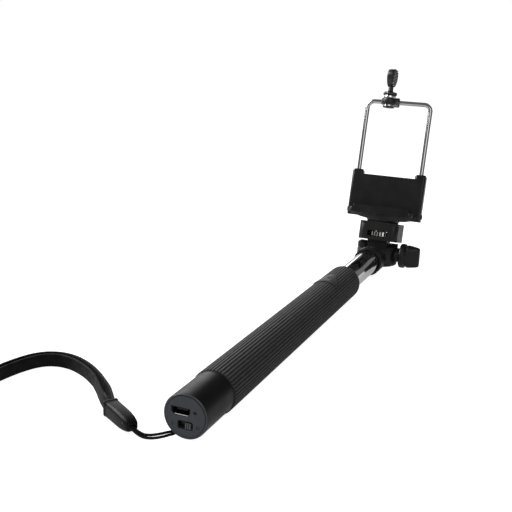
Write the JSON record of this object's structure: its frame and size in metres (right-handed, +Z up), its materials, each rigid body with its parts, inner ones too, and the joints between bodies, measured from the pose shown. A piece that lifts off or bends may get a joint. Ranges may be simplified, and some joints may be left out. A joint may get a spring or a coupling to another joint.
{
  "type": "selfie stick",
  "caption": "Telescopic selfie stick with a ribbed handle, shutter button, nested chrome tubes, a tilting head, a wire-frame phone holder with a paddle screw, and a wrist strap.",
  "frame": {"origin": "middle of the object's box, on the surface that the grip lies on", "axes": "+Y along the tubes from the handle's end to the head, +Z up from the surface that the stick lies on, +X to the right when looking from the handle's end towards the head"},
  "size_m": [0.1335, 0.3489, 0.1298],
  "materials": {
    "barrel_black": "satin black moulded ABS barrel",
    "end_grey": "matte dark grey moulded end plate",
    "core_black": "black moulded core tube and inner plastic",
    "grip_rubber": "matte charcoal ribbed rubber",
    "button_rubber": "smooth charcoal silicone rubber",
    "battery_wrap": "blue shrink sleeve",
    "board_green": "green solder mask on glass epoxy",
    "flex_amber": "amber polyimide flex strip",
    "nickel": "nickel-plated sheet metal",
    "led_clear": "frosted clear light pipe",
    "tube_chrome": "bright chrome-plated steel tube",
    "bush_ivory": "ivory acetal guide bushes",
    "brass": "turned brass",
    "steel_zinc": "zinc-plated steel",
    "screw_black": "black-oxide steel screw",
    "head_black": "black glass-filled nylon, fine spark texture",
    "knob_black": "black moulded nylon knob",
    "pad_rubber": "soft black rubber pad",
    "wire_chrome": "bright chrome-plated spring wire",
    "spring_steel": "zinc-plated spring steel",
    "clasp_black": "semi-gloss black moulded clasp",
    "cord_black": "black braided polyester cord",
    "webbing_black": "black woven nylon webbing"
  },
  "bodies": {
    "handle": {"end_barrel": "barrel_black", "end_plate": "end_grey", "handle_core": "core_black", "grip_sleeve": "grip_rubber", "battery": "battery_wrap", "circuit_board": "board_green", "usb_socket": "nickel", "switch_body": "nickel", "led_pipe": "led_clear", "flex_strip": "flex_amber", "dome_switch": "nickel", "barrel_screws": "steel_zinc", "bulkhead": "core_black", "tube_bushes": "bush_ivory", "tube_1": "tube_chrome", "lanyard_cord": "cord_black", "strap_clasp": "clasp_black", "wrist_strap": "webbing_black"},
    "power_slider": {"switch_slider": "core_black"},
    "shutter_button": {"shutter_button": "button_rubber"},
    "stage_2": {"tube_2": "tube_chrome", "slide_bush_2": "bush_ivory"},
    "stage_3": {"tube_3": "tube_chrome", "slide_bush_3": "bush_ivory"},
    "stage_4": {"tube_4": "tube_chrome", "slide_bush_4": "bush_ivory"},
    "stage_5": {"tube_5": "tube_chrome", "slide_bush_5": "bush_ivory"},
    "stage_6": {"tube_6": "tube_chrome", "slide_bush_6": "bush_ivory", "tube_plug": "brass", "swivel_screw": "steel_zinc"},
    "fork": {"fork": "head_black", "pivot_bolt": "steel_zinc", "friction_washers": "bush_ivory"},
    "tilt_washer": {"tilt_washer": "steel_zinc"},
    "tilt_knob": {"tilt_knob": "knob_black", "knob_insert": "brass"},
    "tilt_block": {"tilt_block": "head_black", "block_cap": "head_black", "cap_screws": "steel_zinc", "mount_pad": "pad_rubber"},
    "thumbwheel": {"thumbwheel": "nickel", "tripod_screw": "steel_zinc"},
    "holder": {"holder_base": "head_black", "holder_insert": "brass", "tray_pad": "pad_rubber", "tower_caps": "knob_black", "frame_springs": "spring_steel"},
    "wire_frame": {"wire_frame": "wire_chrome", "leg_clips": "steel_zinc"},
    "jaw": {"jaw": "head_black", "jaw_bush": "wire_chrome", "jaw_lock_ring": "knob_black"},
    "press_foot": {"press_foot": "steel_zinc", "foot_pad": "pad_rubber"},
    "clamp_screw": {"clamp_screw": "screw_black", "paddle_knob": "knob_black"}
  },
  "joints": [
    {"name": "power_switch", "type": "slide", "parent": "handle", "child": "power_slider", "axis": [1, 0, 0], "range_m": [-0.0024, 0]},
    {"name": "shutter_press", "type": "slide", "parent": "handle", "child": "shutter_button", "axis": [0, 0, -1], "range_m": [0, 0.00025], "stiffness_N_per_m": 1500},
    {"name": "extend_2", "type": "slide", "parent": "handle", "child": "stage_2", "axis": [0, 1, 0], "range_m": [0, 0.148]},
    {"name": "extend_3", "type": "slide", "parent": "stage_2", "child": "stage_3", "axis": [0, 1, 0], "range_m": [0, 0.148]},
    {"name": "extend_4", "type": "slide", "parent": "stage_3", "child": "stage_4", "axis": [0, 1, 0], "range_m": [0, 0.148]},
    {"name": "extend_5", "type": "slide", "parent": "stage_4", "child": "stage_5", "axis": [0, 1, 0], "range_m": [0, 0.148]},
    {"name": "extend_6", "type": "slide", "parent": "stage_5", "child": "stage_6", "axis": [0, 1, 0], "range_m": [0, 0.148]},
    {"name": "head_swivel", "type": "hinge", "parent": "stage_6", "child": "fork", "pos_m": [-0.0013, 0.11058, 0.00985], "axis": [0, 1, 0], "continuous": true},
    {"name": "head_tilt", "type": "hinge", "parent": "fork", "child": "tilt_block", "pos_m": [-0.0013, 0.12258, 0.01085], "axis": [-1, 0, 0], "range_deg": [-28, 76.8]},
    {"name": "tilt_lock", "type": "hinge", "parent": "tilt_washer", "child": "tilt_knob", "pos_m": [-0.0013, 0.12258, 0.01085], "axis": [1, 0, 0], "range_deg": [0, 361]},
    {"name": "tilt_release", "type": "slide", "parent": "fork", "child": "tilt_washer", "axis": [1, 0, 0], "range_m": [0, 0.0007]},
    {"name": "wheel_turn", "type": "hinge", "parent": "tilt_block", "child": "thumbwheel", "pos_m": [-0.0013, 0.12873, 0.02173], "axis": [0, 0.2284, 0.9736], "continuous": true},
    {"name": "holder_pan", "type": "hinge", "parent": "tilt_block", "child": "holder", "pos_m": [-0.0013, 0.13078, 0.0305], "axis": [0, 0.2284, 0.9736], "continuous": true},
    {"name": "frame_slide", "type": "slide", "parent": "holder", "child": "wire_frame", "axis": [0, 0.2284, 0.9736], "range_m": [-0.0075, 0.0135], "deforming": ["frame_springs"]},
    {"name": "jaw_shift", "type": "slide", "parent": "wire_frame", "child": "jaw", "axis": [1, 0, 0], "range_m": [-0.0065, 0.0168]},
    {"name": "clamp_travel", "type": "slide", "parent": "jaw", "child": "press_foot", "axis": [0, -0.2284, -0.9736], "range_m": [0, 0.002]},
    {"name": "clamp_turn", "type": "hinge", "parent": "press_foot", "child": "clamp_screw", "pos_m": [-0.0065, 0.14191, 0.10903], "axis": [0, -0.2284, -0.9736], "range_deg": [0, 1441]}
  ],
  "couplings": [
    {"joint": "tilt_lock", "follows": "tilt_release", "rad_per_m": 8976},
    {"joint": "clamp_turn", "follows": "clamp_travel", "rad_per_m": 12566}
  ]
}
